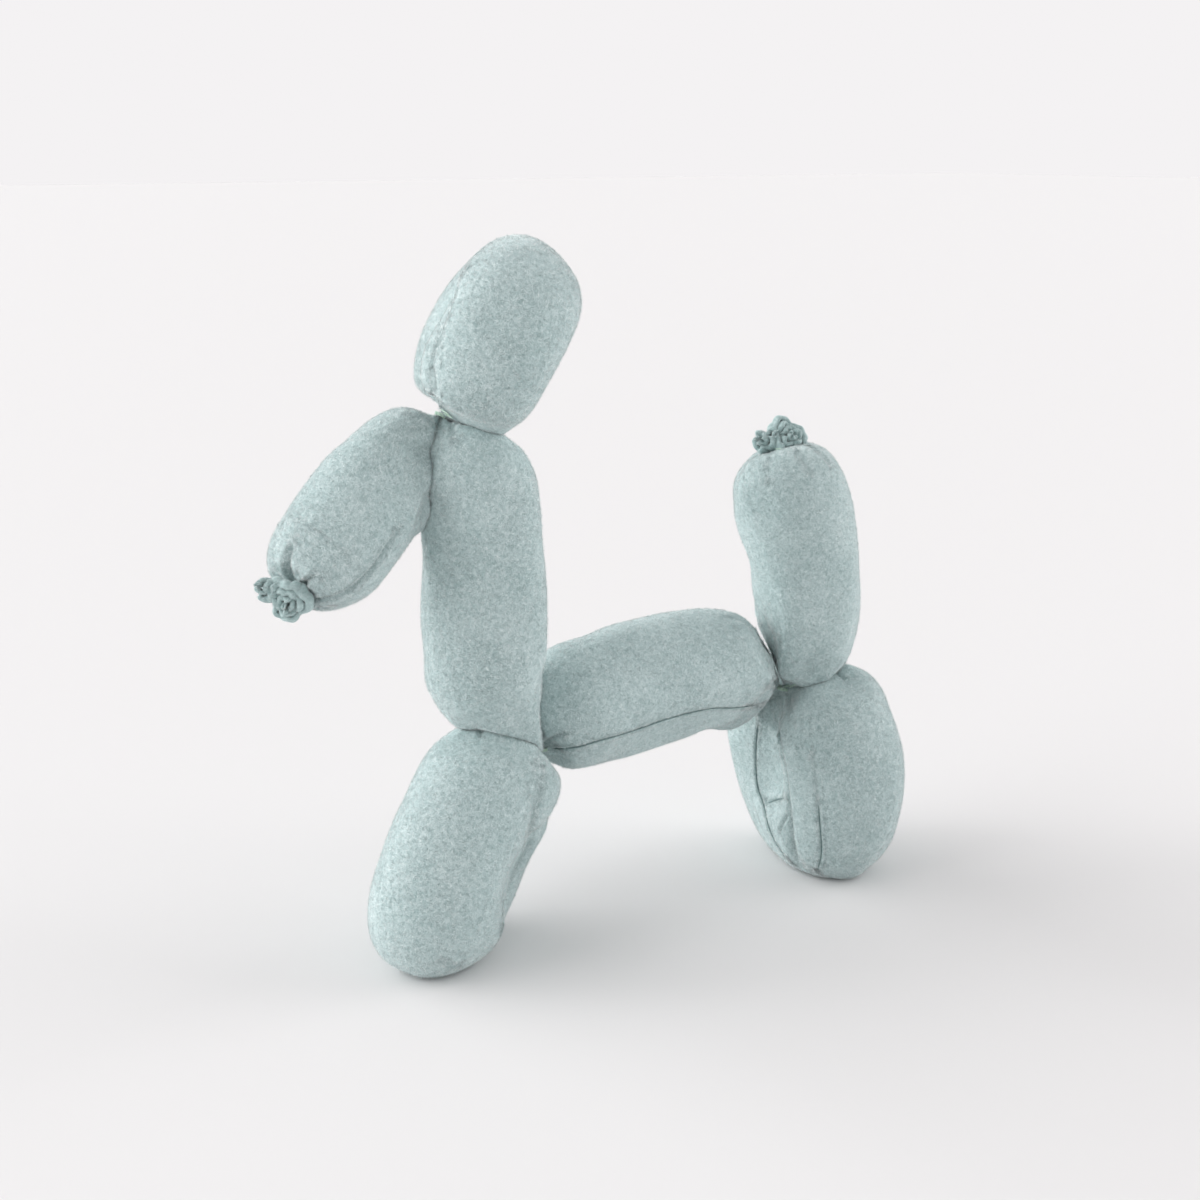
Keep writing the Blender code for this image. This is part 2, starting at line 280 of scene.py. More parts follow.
def one_skin(bag, cleft_mm):
    """The halves of a folded bubble become one skin: swelled, gridded anew and drawn back."""
    swell = bag.modifiers.new("swell", "DISPLACE")
    swell.mid_level = 0.0
    swell.strength = cleft_mm / 1000
    fresh = bag.modifiers.new("skin", "REMESH")
    fresh.mode = "VOXEL"
    fresh.voxel_size = SKIN_MM / 1000
    settle = bag.modifiers.new("settle", "SMOOTH")
    settle.factor = 0.5
    settle.iterations = 6
    back = bag.modifiers.new("back", "DISPLACE")
    back.mid_level = 0.0
    back.strength = -cleft_mm / 1000
    evener = bag.modifiers.new("evener", "SMOOTH")
    evener.factor = 0.5
    evener.iterations = 8
    return applied(bag)


for name, bag in bags.items():
    before = points_of(bag.data)
    plump(name, bag)
    keep_to_own_side(name, bag, before)
    if name in LOOPS:
        print(name, "has one skin of", len(one_skin(bag, LOOPS[name]).data.polygons), "faces")

# %% [markdown]
# ## Drawn together at the ties
# Thread pulls the cloth of neighbouring bubbles to one point, and their filling presses them flat
# against each other. So the cloth near a tie is drawn in to it, and facing skins are moved until they
# nearly touch. The move fades out with distance and is evened over the mesh, so no ridge shows.

# %% Draw in and press together
TIED_MM = 17.0
DRAWN_IN_MM = 6.0
CLOSE_MM = 3.0
OPEN_MM = 7.5


def evened(mesh, moves, times):
    """Each point's move becomes the mean of its own and its neighbours' moves."""
    pairs = np.empty(len(mesh.edges) * 2, np.int32)
    mesh.edges.foreach_get("vertices", pairs)
    a, b = pairs.reshape(-1, 2).T
    count = np.bincount(a, minlength=len(moves)) + np.bincount(b, minlength=len(moves)) + 1
    for _ in range(times):
        total = moves.copy()
        np.add.at(total, a, moves[b])
        np.add.at(total, b, moves[a])
        moves = total / count[:, None]
    return moves


def draw_in(name, bag):
    """Cloth near a tie is drawn toward it."""
    places = points_of(bag.data)
    for tie in HELD_AT[name]:
        if tie.endswith("knot"):
            continue
        at = np.array(TIES[tie])
        away = np.linalg.norm(places - at, axis=1)
        pull = DRAWN_IN_MM / 1000 * np.clip(1 - away * 1000 / TIED_MM, 0, 1) ** 1.5
        near = np.maximum(away - pull, 0.0012)
        places = at + (places - at) * (near / np.maximum(away, 1e-6))[:, None]
    set_points(bag.data, places)


SKIN_GAP = 0.0003
# How firmly each is stuffed: of two bubbles that press on each other, the firmer gives way less
FIRM = {"neck": 4.0, "tail": 4.0, "ears": 2.0, "body": 1.5, "snout": 1.0,
        "front_legs": 3.0, "hind_legs": 3.0}


def press_together(rounds=4):
    """Skins that face each other across a narrow valley meet, and the softer one gives way more."""
    for _ in range(rounds):
        trees = {name: tree_of(bag.data) for name, bag in bags.items()}
        for name, bag in bags.items():
            places, facing = points_of(bag.data), normals_of(bag.data)
            moves = np.zeros_like(places)
            for other, tree in trees.items():
                if other == name or not set(HELD_AT[name]) & set(HELD_AT[other]):
                    continue
                share = FIRM[other] / (FIRM[name] + FIRM[other])
                for i, place in enumerate(places):
                    there, normal, _, gap = tree.find_nearest(place, OPEN_MM / 1000)
                    if there is None:
                        continue
                    if (Vector(place) - there).dot(normal) < 0:
                        moves[i] += np.array(normal) * share * (gap + SKIN_GAP)
                        continue
                    way = (np.array(there) - place) / max(gap, 1e-9)
                    facing_it = way @ facing[i]
                    if facing_it < 0.25 or gap < SKIN_GAP:
                        continue
                    ease = np.clip((OPEN_MM / 1000 - gap) / (OPEN_MM - CLOSE_MM) * 1000, 0, 1)
                    moves[i] += way * share * (gap - SKIN_GAP) * ease * ease * min(1.0, 2 * facing_it)
            set_points(bag.data, places + evened(bag.data, moves, 2))
    for bag in bags.values():
        set_above_floor(bag.data, points_of(bag.data))


# %% [markdown]
# ## Outlines read from the photograph
# Hand sewing makes each bubble a little different, and its outline shows that most. For points read
# along each outline, the outermost cloth beside a point is moved across the line of sight until it
# lies on it. The cloth around follows softly, so the bubble stays round from every other side.

# %% Edges seen in the picture
# Each list is the picture points that the edge of a bubble passes through
EDGES = {
    "ears": [(476, 253), (456, 274), (442, 291), (429, 316), (416, 345), (414, 368), (417, 391), (511, 233),
             (493, 240), (547, 243), (566, 262), (579, 281), (582, 299), (578, 326), (568, 348), (559, 366),
             (543, 394), (527, 419)],
    "snout": [(401, 405), (375, 417), (352, 432), (307, 480), (275, 528), (266, 555), (267, 571),
              (310, 611), (347, 608), (379, 587), (401, 557), (422, 522), (425, 485), (428, 450)],
    "neck": [(429, 432), (425, 458), (423, 500), (422, 568), (420, 599), (423, 650), (438, 711), (529, 456),
             (541, 500), (545, 555), (548, 604), (548, 652), (543, 680), (543, 719), (454, 724), (482, 728),
             (508, 732), (524, 737)],
    "body": [(584, 635), (630, 619), (681, 609), (720, 608), (746, 617), (759, 631), (768, 650), (777, 672),
             (558, 768), (594, 767), (630, 757), (652, 750), (675, 742), (720, 732), (748, 723), (761, 712),
             (769, 700)],
    "tail": [(741, 465), (731, 492), (737, 531), (749, 563), (752, 594), (756, 620), (769, 651), (814, 441),
             (839, 463), (852, 492), (858, 533), (861, 584), (861, 614), (855, 641), (802, 685), (822, 680),
             (835, 672)],
    "front_legs": [(439, 738), (422, 759), (407, 790), (395, 815), (382, 849), (372, 878), (367, 905),
                   (368, 931), (375, 951), (562, 778), (558, 803), (543, 838), (531, 859), (522, 880),
                   (516, 895), (508, 912), (502, 935)],
    "hind_legs": [(864, 668), (877, 681), (893, 715), (901, 738), (905, 762), (905, 785), (899, 821),
                  (891, 844), (877, 862), (727, 736), (731, 755), (736, 778), (744, 802), (752, 821),
                  (762, 839), (776, 855)],
}
REACH_MM = 13.0
MOST_MM = 2.5
STRIP_PIXELS = 5
TOO_FAR_PIXELS = 28


def in_picture(places):
    """Picture place of each point, and how many metres one pixel is there."""
    flat = (places - np.array(EYE)) @ np.array(TURN.to_matrix())
    pixel = -flat[:, 2] * SENSOR_MM / LENS_MM / PICTURE
    return PICTURE / 2 + flat[:, :2] / pixel[:, None] * (1, -1), pixel


def ease_to_edge(name, bag, rounds=4):
    """The bag's outer edge is eased toward the picture points."""
    worst = 0.0
    for _ in range(rounds):
        places = points_of(bag.data)
        seen, pixel = in_picture(places)
        centre = seen.mean(0)
        moves, weights, worst = np.zeros_like(places), np.zeros(len(places)), 0.0
        for target in np.array(EDGES[name], float):
            order = np.argsort(np.linalg.norm(np.array(EDGES[name], float) - target, axis=1))
            ahead = np.array(EDGES[name][order[1]], float) - target
            outward = np.array((ahead[1], -ahead[0])) / np.linalg.norm(ahead)
            outward *= np.sign(outward @ (target - centre))
            aside = np.abs((seen - target) @ np.array((-outward[1], outward[0])))
            strip = np.nonzero(aside < STRIP_PIXELS)[0]
            if not len(strip):
                continue
            past = (seen[strip] - target) @ outward
            edge = strip[past.argmax()]
            over = past.max() + 1.0
            if abs(over) > TOO_FAR_PIXELS:
                continue
            worst = max(worst, abs(over))
            step = -outward * np.clip(over * pixel[edge], -MOST_MM / 1000, MOST_MM / 1000)
            weight = np.exp(-(np.linalg.norm(places - places[edge], axis=1) * 1000 / REACH_MM) ** 2)
            moves += np.outer(weight, np.array(PICTURE_RIGHT) * step[0] - np.array(PICTURE_UP) * step[1])
            weights += weight
        set_above_floor(bag.data, places + moves / np.maximum(weights, 1.0)[:, None])
    print(name, "edge within", round(worst, 1), "pixels before the last step")


# %% [markdown]
# ## Which bubble lies in front
# Where bubbles crowd at a tie, the picture shows which one overlaps the other. A soft push at one
# place puts them in that order. Then every bag is drawn in to its ties, eased to its outline once
# more and pressed against its neighbours.

# %% Small shifts, then all bags together
# Each is (place in the picture, moves to the right, up and toward the camera in mm, reach in mm)
SHIFTS = {"snout": [((422, 485), 0.0, 0.0, -8.0, 19.0), ((433, 447), -2.0, 0.0, -6.0, 12.0)],
          "neck": [((434, 465), 0.0, 0.0, 3.0, 13.0), ((436, 442), -3.5, 1.0, 3.5, 10.0),
                   ((503, 722), 0.0, 0.0, -1.5, 9.0)],
          "front_legs": [((502, 748), 0.0, 5.0, 3.5, 13.0), ((527, 752), 0.0, 7.0, 2.0, 9.0)],
          "hind_legs": [((806, 702), 0.0, 3.5, 3.0, 13.0)],
          "body": [((772, 655), 0.0, 0.0, -3.5, 11.0), ((775, 679), 2.0, -1.0, 1.0, 9.0),
                   ((771, 706), -2.5, 3.0, -1.0, 12.0)],
          "tail": [((776, 650), 0.0, 0.0, 1.5, 10.0), ((787, 676), -3.0, -1.5, 1.5, 8.0),
                   ((812, 672), 0.0, 0.0, -1.5, 9.0)]}
for name, shifts in SHIFTS.items():
    places = points_of(bags[name].data)
    for (x, y), rightward, upward, toward, reach in shifts:
        off = np.linalg.norm(in_picture(places)[0] - (x, y), axis=1)
        seen = places[off < off.min() + 4]
        spot = seen[np.linalg.norm(seen - np.array(EYE), axis=1).argmin()]
        fall = np.exp(-(np.linalg.norm(places - spot, axis=1) * 1000 / reach) ** 2)
        way = PICTURE_RIGHT * rightward + PICTURE_UP * upward - sight(x, y) * toward
        places += np.outer(fall / 1000, np.array(way))
    set_points(bags[name].data, places)
for name, bag in bags.items():
    draw_in(name, bag)
    ease_to_edge(name, bag)
press_together()
for bag in bags.values():
    rounded(bag, 1)
print("bags have", sum(len(bag.data.polygons) for bag in bags.values()), "faces")

# %% [markdown]
# ## Seams, tucks and gathers
# The tube is sewn along its length, and the seam shows as a thin sunk line with the cloth puffed on
# both sides. Short tucks run out of every tie. Each is drawn as a line of picture points, cast from
# the camera onto the cloth, so that it lies on the surface from any side. The faces near it are
# divided first, because a groove needs at least two faces across it.

# %% Lines drawn on the cloth
def smooth_path(corners, every=2.0):
    """A rounded path through the corners, with a point about every two pixels."""
    p = np.asarray(corners, float)
    if len(p) == 2:
        p = np.array([p[0], p.mean(0), p[1]])
    p = np.vstack([2 * p[0] - p[1], p, 2 * p[-1] - p[-2]])
    path = []
    for a, b, c, d in zip(p, p[1:], p[2:], p[3:]):
        for t in np.linspace(0, 1, max(2, int(np.linalg.norm(c - b) / every)), endpoint=False):
            path.append(0.5 * (2 * b + (c - a) * t + (2 * a - 5 * b + 4 * c - d) * t ** 2
                               + (3 * b - a - 3 * c + d) * t ** 3))
    path.append(p[-2])
    return np.array(path)


LINE_STEP_MM = 0.25


def cast(bag, corners):
    """The path as close points on the cloth where the camera sees it, and the cloth's normals there."""
    tree = tree_of(bag.data)
    found = []
    for x, y in smooth_path(corners):
        hit, normal, _, _ = tree.ray_cast(EYE, sight(x, y))
        if hit is not None:
            found.append((*hit, *normal))
    found = np.array(found).reshape(-1, 6)
    for _ in range(3):
        found[1:-1] = (found[:-2] + 2 * found[1:-1] + found[2:]) / 4
    if len(found) > 1:
        run = np.concatenate(([0], np.cumsum(np.linalg.norm(np.diff(found[:, :3], axis=0), axis=1))))
        stops = np.arange(0, run[-1], LINE_STEP_MM / 1000)
        found = np.stack([np.interp(stops, run, column) for column in found.T], axis=1)
    return found[:, :3], found[:, 3:]


def nearest_on(line, places):
    """For each place, which point of the line is nearest and how far off it is."""
    tree = KDTree(len(line))
    for i, spot in enumerate(line):
        tree.insert(spot, i)
    tree.balance()
    found = [tree.find(place)[1:] for place in places]
    return np.array([i for i, _ in found], int), np.array([far for _, far in found])


def beside(line, places, reach):
    """Which of the places are in a box that goes this far beyond the line."""
    inside = (places > line.min(0) - reach) & (places < line.max(0) + reach)
    return np.nonzero(np.all(inside, axis=1))[0]


def eased(share):
    """A share from 0 to 1 that starts and ends gently."""
    return share * share * (3 - 2 * share)


def finer_near(bag, lines, within):
    """Divides the faces that lie near any of the lines."""
    places = points_of(bag.data)
    close = np.zeros(len(places), bool)
    for line, _ in lines:
        box = beside(line, places, within)
        if len(box):
            close[box[nearest_on(line, places[box])[1] < within]] = True
    shape = bmesh.new()
    shape.from_mesh(bag.data)
    shape.verts.ensure_lookup_table()
    edges = [e for e in shape.edges if close[e.verts[0].index] and close[e.verts[1].index]]
    bmesh.ops.subdivide_edges(shape, edges=edges, cuts=1, use_grid_fill=True, smooth=0.0)
    shape.to_mesh(bag.data)
    shape.free()
    bag.data.update()


def values_of(mesh, label):
    """What a point attribute holds at each vertex."""
    held = np.zeros(len(mesh.vertices), np.float32)
    mesh.attributes[label].data.foreach_get("value", held)
    return held


def noted(bag, label, chosen, values):
    """Writes values to a point attribute wherever they are higher than what it holds."""
    if label not in bag.data.attributes:
        bag.data.attributes.new(label, "FLOAT", "POINT")
    held = values_of(bag.data, label)
    held[chosen] = np.maximum(held[chosen], values)
    bag.data.attributes[label].data.foreach_set("value", held)


def press_line(bag, line, along, width, depth, lip=0.25, fade=0.15, shade=1.0, hug=0.3):
    """Sinks a groove along a line, raises a soft lip beside it and notes painted shade in the groove."""
    if len(line) < 2:
        return
    places, facing = points_of(bag.data), normals_of(bag.data)
    reach = width * 4
    box = beside(line, places, reach)
    if not len(box):
        return
    nearest, gap = nearest_on(line, places[box])
    ok = (gap < reach) & ((facing[box] * along[nearest]).sum(1) > hug)
    chosen, gap, nearest = box[ok], gap[ok], nearest[ok]
    share = nearest / max(len(line) - 1, 1)
    ease = eased(np.clip(np.minimum(share, 1 - share) / fade, 0, 1))
    sink = -depth * np.exp(-(gap / width) ** 2) + lip * depth * np.exp(-((gap - 2 * width) / width) ** 2)
    moves = np.zeros_like(places)
    moves[chosen] = facing[chosen] * (sink * ease)[:, None]
    set_above_floor(bag.data, places + evened(bag.data, moves, 1))
    # Painted shade in the groove: the wool's colour is darkened here toward the shade colour
    noted(bag, "crease", chosen, shade * ease * np.exp(-(gap / (0.8 * width)) ** 2))
    noted(bag, "short", chosen, ease * (np.exp(-(gap / 0.0012) ** 2) if width < 0.0009 else
                                        0.45 * np.exp(-(gap / (1.5 * width)) ** 2)))


def lap_line(bag, line, along, roll, depth, fall, far, shade, fade=0.16):
    """Sets one lobe behind another along a line: a short rolled edge in front, a long slope behind with
    painted shade.
    """
    if len(line) < 2:
        return
    places, facing = points_of(bag.data), normals_of(bag.data)
    view = -np.array(PICTURE_IN)
    across = np.cross(np.gradient(line, axis=0), view)
    across /= np.maximum(np.linalg.norm(across, axis=1, keepdims=True), 1e-9)
    across *= np.sign(across @ np.array(PICTURE_RIGHT))[:, None] * far
    reach = max(3 * roll, 4 * fall)
    box = beside(line, places, reach)
    nearest, gap = nearest_on(line, places[box])
    hold = np.clip((facing[box] * along[nearest]).sum(1) / 0.8 + 0.6, 0, 1)
    ok = (gap < reach) & (hold > 0.0)
    chosen, gap, nearest, hold = box[ok], gap[ok], nearest[ok], hold[ok]
    over = ((places[chosen] - line[nearest]) * across[nearest]).sum(1)
    signed = gap * np.where(over > 0, 1.0, -1.0)
    share = nearest / (len(line) - 1)
    ease = eased(np.clip(np.minimum(share, 1 - share) / fade, 0, 1)) * eased(hold)
    sink = np.exp(-(signed / np.where(signed > 0, fall, roll)) ** 2)
    lean = np.where(signed > 0, 0.78 * np.exp(-(signed / (0.4 * roll)) ** 2),
                    np.exp(-((signed + 0.5 * roll) / roll) ** 2))
    back = facing[chosen] + view
    back /= np.maximum(np.linalg.norm(back, axis=1, keepdims=True), 1e-9)
    moves = np.zeros_like(places)
    moves[chosen] = across[nearest] * (0.3 * depth * lean * ease)[:, None]
    moves[chosen] -= back * (depth * sink * ease)[:, None]
    set_above_floor(bag.data, places + evened(bag.data, moves, 2))
    # Painted shade on the slope behind the rolled edge, where the lobe lies in the shadow of the lap
    behind = np.exp(-(signed / np.where(signed > 0, 0.8 * fall, 0.3 * roll)) ** 2)
    noted(bag, "crease", chosen, shade * ease * behind)
    noted(bag, "short", chosen, 0.45 * ease * np.exp(-(gap / roll) ** 2))


# %% [markdown]
# ## Bridged valleys and folds
# Stuffed cloth spans a sharp valley. There the mesh is smoothed along a line and eased back to the
# outline. Where one half of a folded bubble lies in front of the other, a lap is pressed in: a short
# rolled edge in front and a long slope behind it.

# %% Valleys of the solid that the cloth bridges
# Each is (corners in the picture, how far the smoothing reaches in mm, times)
BRIDGED = {
    "body": (((738, 724), (752, 716), (764, 706)), 7.0, 25),
    "ears": (((470, 268), (450, 299), (434, 322), (424, 343), (421, 365), (424, 392)), 5.0, 20),
    "front_legs": (((558, 806), (545, 822), (531, 838), (521, 866), (512, 893), (506, 918)), 4.5, 30),
    "hind_legs": (((777, 704), (776, 720), (776, 745), (778, 770), (781, 795), (785, 820),
                   (790, 845)), 5.5, 50),
}


def smoothed_near(bag, line, within_mm, times):
    """Smooths the cloth that lies near a line."""
    shape = bmesh.new()
    shape.from_mesh(bag.data)
    shape.verts.ensure_lookup_table()
    off = nearest_on(line, [v.co for v in shape.verts])[1]
    close = [shape.verts[int(i)] for i in np.nonzero(off < within_mm / 1000)[0]]
    for _ in range(times):
        bmesh.ops.smooth_vert(shape, verts=close, factor=0.5,
                              use_axis_x=True, use_axis_y=True, use_axis_z=True)
    shape.to_mesh(bag.data)
    shape.free()
    print(bag.name, "smoothed at", len(close), "points")


for name, (corners, within, times) in BRIDGED.items():
    smoothed_near(bags[name], cast(bags[name], corners)[0], within, times)
    ease_to_edge(name, bags[name], rounds=2)

# %% Folds where one lobe of a loop lies in front of the other
# Each is (corners in the picture, rolled edge in mm, depth, slope behind, which side lies behind,
# how dark the painted shade behind the edge is)
LAPS = {
    "ears": [(((464, 271), (455, 291), (446, 317), (439, 337), (434, 368), (435, 400),
               (443, 414)), 3.2, 2.4, 6.0, -1, 0.10)],
    "front_legs": [(((540, 758), (538, 778), (533, 807), (527, 842), (513, 870), (507, 893), (504, 912),
                     (502, 932)), 3.0, 2.4, 5.0, 1, 0.12)],
    "hind_legs": [(((777, 702), (777, 716), (779, 735), (781, 750), (786, 773), (789, 797), (791, 818),
                    (794, 845), (800, 862), (815, 873)), 2.8, 5.2, 6.0, -1, 0.42)],
}
for name, folds in LAPS.items():
    lines = [cast(bags[name], fold[0]) for fold in folds]
    finer_near(bags[name], lines, 0.005)
    for (line, along), (_, roll, depth, fall, far, shade) in zip(lines, folds):
        lap_line(bags[name], line, along, roll / 1000, depth / 1000, fall / 1000, far, shade=shade)
        smoothed_near(bags[name], line, 3.5, 1)
    print(name, "has", len(folds), "lap,", len(bags[name].data.polygons), "faces")

# %% Seams, tucks and folds seen in the picture
# Each is (corners in the picture, groove width in mm, depth in mm, how dark its painted shade is)
DRAWN = {
    "body": [
        (((543, 749), (573, 748), (592, 743), (630, 732), (668, 719), (708, 709), (735, 708),
          (763, 704)), 0.8, 0.9, 0.45),
        (((542, 747), (554, 737), (565, 735)), 1.2, 1.4, 0.5),
        (((776, 680), (769, 685)), 1.2, 1.0, 0.2),
    ],
    "snout": [
        (((304, 598), (324, 599), (347, 591), (374, 566), (398, 528)), 1.1, 1.4, 0.25),
        (((303, 608), (316, 608), (332, 606)), 1.0, 0.9, 0.15),
        (((298, 589), (288, 571), (289, 553), (295, 540)), 1.8, 1.9, 0.2),
        (((301, 588), (309, 579), (318, 575)), 1.3, 1.8, 0.4),
    ],
    "neck": [
        (((450, 419), (452, 427), (454, 438)), 1.4, 1.1, 0.2),
    ],
    "front_legs": [
        (((482, 728), (481, 738)), 1.4, 1.2, 0.3),
        (((444, 962), (453, 966), (461, 964)), 1.2, 0.6, 0.1),
    ],
    "hind_legs": [
        (((812, 752), (816, 776), (818, 800), (819, 815)), 1.0, 0.5, 0.08),
        (((818, 798), (819, 815), (821, 840), (821, 856), (817, 872)), 0.8, 0.7, 0.2),
        (((788, 694), (791, 706), (796, 722)), 1.3, 0.4, 0.06),
        (((760, 712), (756, 742), (756, 772), (758, 789), (764, 806), (769, 828), (779, 848),
          (792, 863)), 0.8, 0.9, 0.4),
        (((764, 805), (775, 800), (785, 798)), 0.8, 0.7, 0.4),
        (((788, 813), (784, 821), (779, 830)), 1.3, 1.2, 0.4),
        (((835, 672), (840, 676), (847, 681)), 1.3, 0.7, 0.1),
    ],
    "tail": [
        (((796, 450), (802, 460), (809, 472)), 1.8, 0.7, 0.05),
        (((772, 451), (769, 464), (767, 482)), 2.0, 0.5, 0.0),
        (((809, 446), (820, 453), (830, 465)), 1.8, 0.7, 0.05),
    ],
}
SEWN = []
for name, marks in DRAWN.items():
    lines = [cast(bags[name], corners) for corners, _, _, _ in marks]
    finer_near(bags[name], [line for line in lines if len(line[0])], 0.0030)
    thin = [line for line, (_, width, _, _) in zip(lines, marks) if width < 0.9 and len(line[0])]
    if thin:
        finer_near(bags[name], thin, 0.0016)
        SEWN += [(name, corners) for corners, width, _, _ in marks if width < 0.9]
    for (line, along), (_, width, depth, shade) in zip(lines, marks):
        press_line(bags[name], line, along, width / 1000, depth / 1000, shade=shade)
    print(name, "has", len(marks), "lines,", len(bags[name].data.polygons), "faces")

# %% Gathers round each tie
def gather(name, bag, tie, count, seed, reach=0.022, depth=0.0009):
    """Soft creases fan out of a tie, each with its own place, length and depth."""
    rng = np.random.default_rng(seed)
    places, facing = points_of(bag.data), normals_of(bag.data)
    at = np.array(TIES[tie])
    away = np.linalg.norm(places - at, axis=1)
    axis = (places[away < 0.04] - at).mean(0)
    axis /= np.linalg.norm(axis)
    side = np.cross(axis, (0.3, 1.0, 0.2))
    side /= np.linalg.norm(side)
    other = np.cross(axis, side)
    turn = np.arctan2((places - at) @ other, (places - at) @ side)
    sink = np.zeros(len(places))
    for k in range(count):
        middle = 2 * math.pi * (k + rng.uniform(0.15, 0.85)) / count - math.pi
        wide = rng.uniform(0.10, 0.20)
        long = reach * rng.uniform(0.5, 1.15)
        off = np.abs((turn - middle + math.pi) % (2 * math.pi) - math.pi)
        fall = np.clip(1 - away / long, 0, 1)
        sink = np.maximum(sink, rng.uniform(0.5, 1.0) * np.exp(-(off / wide)) * fall ** 1.3)
    set_points(bag.data, places - facing * (sink * depth)[:, None])


CREASES = 9
FIRST_SEED = 41
tied_ends = [(name, tie) for name, ties in HELD_AT.items() for tie in ties]
for seed, (name, tie) in enumerate(tied_ends, FIRST_SEED):
    gather(name, bags[name], tie, CREASES, seed, depth=0.0004 if tie.endswith("knot") else 0.0009)
print("gathered", len(tied_ends), "tied ends")

# %% [markdown]
# ## Colour
# Every colour is noted as the sRGB value a painter would pick, and one function turns it to the
# linear value that the shader works in.

# %% Colour and node helpers
def linear(hex_value):
    """The linear colour of an sRGB hex value such as A9BDBC."""
    parts = [int(hex_value[i:i + 2], 16) / 255 for i in (0, 2, 4)]
    return (*[c / 12.92 if c <= 0.04045 else ((c + 0.055) / 1.055) ** 2.4 for c in parts], 1.0)


def add_node(tree, kind, links=(), **settings):
    """Adds a node. settings are its properties and input values, and links go from sockets to inputs."""
    node = tree.nodes.new(kind)
    for key, value in settings.items():
        if hasattr(node, key):
            setattr(node, key, value)
        else:
            node.inputs[int(key[1:]) if key[1:].isdigit() else key.replace("_", " ")].default_value = value
    for source, target in links:
        tree.links.new(source, node.inputs[target])
    return node


def new_material(name, **settings):
    """A material with only its Principled node, set as told, and its output."""
    material = bpy.data.materials.new(name)
    material.use_nodes = True
    tree = material.node_tree
    tree.nodes.clear()
    skin = add_node(tree, "ShaderNodeBsdfPrincipled", **settings)
    add_node(tree, "ShaderNodeOutputMaterial", [(skin.outputs["BSDF"], "Surface")])
    return material, tree, skin


def colour_ramp(tree, source, stops):
    """Colours by value: stops are (value, sRGB hex) from the first to the last."""
    node = add_node(tree, "ShaderNodeValToRGB", [(source, "Fac")])
    elements = node.color_ramp.elements
    for element, (position, _) in zip(elements, (stops[0], stops[-1])):
        element.position = position
    for position, _ in stops[1:-1]:
        elements.new(position)
    for element, (_, hex_value) in zip(elements, stops):
        element.color = linear(hex_value)
    return node.outputs["Color"]


def finished(piece, material):
    """The piece gets its material and smooth shading, and rides on the root body."""
    piece.data.materials.clear()
    piece.data.materials.append(material)
    piece.data.shade_smooth()
    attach(piece, "root")
    return piece


# %% [markdown]
# ## Brushed wool cloth
# The cloth is a thick knitted wool, felted and then brushed, so that short fibres stand up in a nap.
# It was dyed in the fleece and spun from lighter and darker wool, which gives a heather. The nap
# parts into clumps about 2 mm across and shows the darker ground between them. It is quite rough and
# the loose ends catch light at a glancing angle, which the sheen gives.

# %% Brushed wool material
CLUMP_MM = 1.7
FIBRE_MM = 0.6
CLOUD_MM = 24.0


def brushed_wool(name, dark, middle, light, crease):
    """Heathered wool: clumps and fibres from noise at their real sizes, with painted shade in the seams."""
    material, tree, skin = new_material(name, Roughness=0.95, Specular_IOR_Level=0.15, Sheen_Weight=1.0,
                                        Sheen_Roughness=0.4, Sheen_Tint=linear("E4F0F0"))
    spot = add_node(tree, "ShaderNodeTexCoord").outputs["Object"]
    clump = add_node(tree, "ShaderNodeTexNoise", [(spot, "Vector")], Scale=1000 / CLUMP_MM, Detail=3.0,
                     Roughness=0.6, Distortion=0.6)
    fibre = add_node(tree, "ShaderNodeTexNoise", [(spot, "Vector")], Scale=1000 / FIBRE_MM, Detail=2.0,
                     Roughness=0.7, Distortion=1.5)
    cloud = add_node(tree, "ShaderNodeTexNoise", [(spot, "Vector")], Scale=1000 / CLOUD_MM, Detail=2.0)
    mixed = add_node(tree, "ShaderNodeMix", [(clump.outputs["Fac"], 2), (fibre.outputs["Fac"], 3)],
                     data_type="FLOAT", _0=0.45)
    cloudy = add_node(tree, "ShaderNodeMix", [(mixed.outputs[0], 2), (cloud.outputs["Fac"], 3)],
                      data_type="FLOAT", _0=0.15)
    heather = colour_ramp(tree, cloudy.outputs[0], ((0.36, dark), (0.50, middle), (0.64, light)))
    # Painted shade: where the point attribute is marked, the heather is darkened toward the shade colour
    crease_shade_mask = add_node(tree, "ShaderNodeAttribute", attribute_name="crease")
    shaded = add_node(tree, "ShaderNodeMix", [(crease_shade_mask.outputs["Fac"], 0), (heather, 6)],
                      data_type="RGBA", _7=linear(crease))
    tree.links.new(shaded.outputs[2], skin.inputs["Base Color"])
    coarse = add_node(tree, "ShaderNodeBump", [(clump.outputs["Fac"], "Height")],
                      Strength=0.55, Distance=0.0006)
    fine = add_node(tree, "ShaderNodeBump", [(fibre.outputs["Fac"], "Height"),
                                             (coarse.outputs["Normal"], "Normal")],
                    Strength=0.5, Distance=0.0003)
    tree.links.new(fine.outputs["Normal"], skin.inputs["Normal"])
    return material


# The last colour of each is the painted shade in seams, tucks and folds
wool = brushed_wool("brushed_wool", "93AAAA", "B5C8C8", "D2E0E0", "4F6464")
gathered = brushed_wool("gathered_wool", "90A8A8", "ABC1C0", "C3D6D6", "4F6464")
print("materials:", wool.name, gathered.name)

# %% [markdown]
# ## Sewing thread
# Polyester thread, twisted from two plies and slightly glossy, in a paler green than the cloth.

# %% Sewing thread material
THREAD_TWIST_MM = 0.8


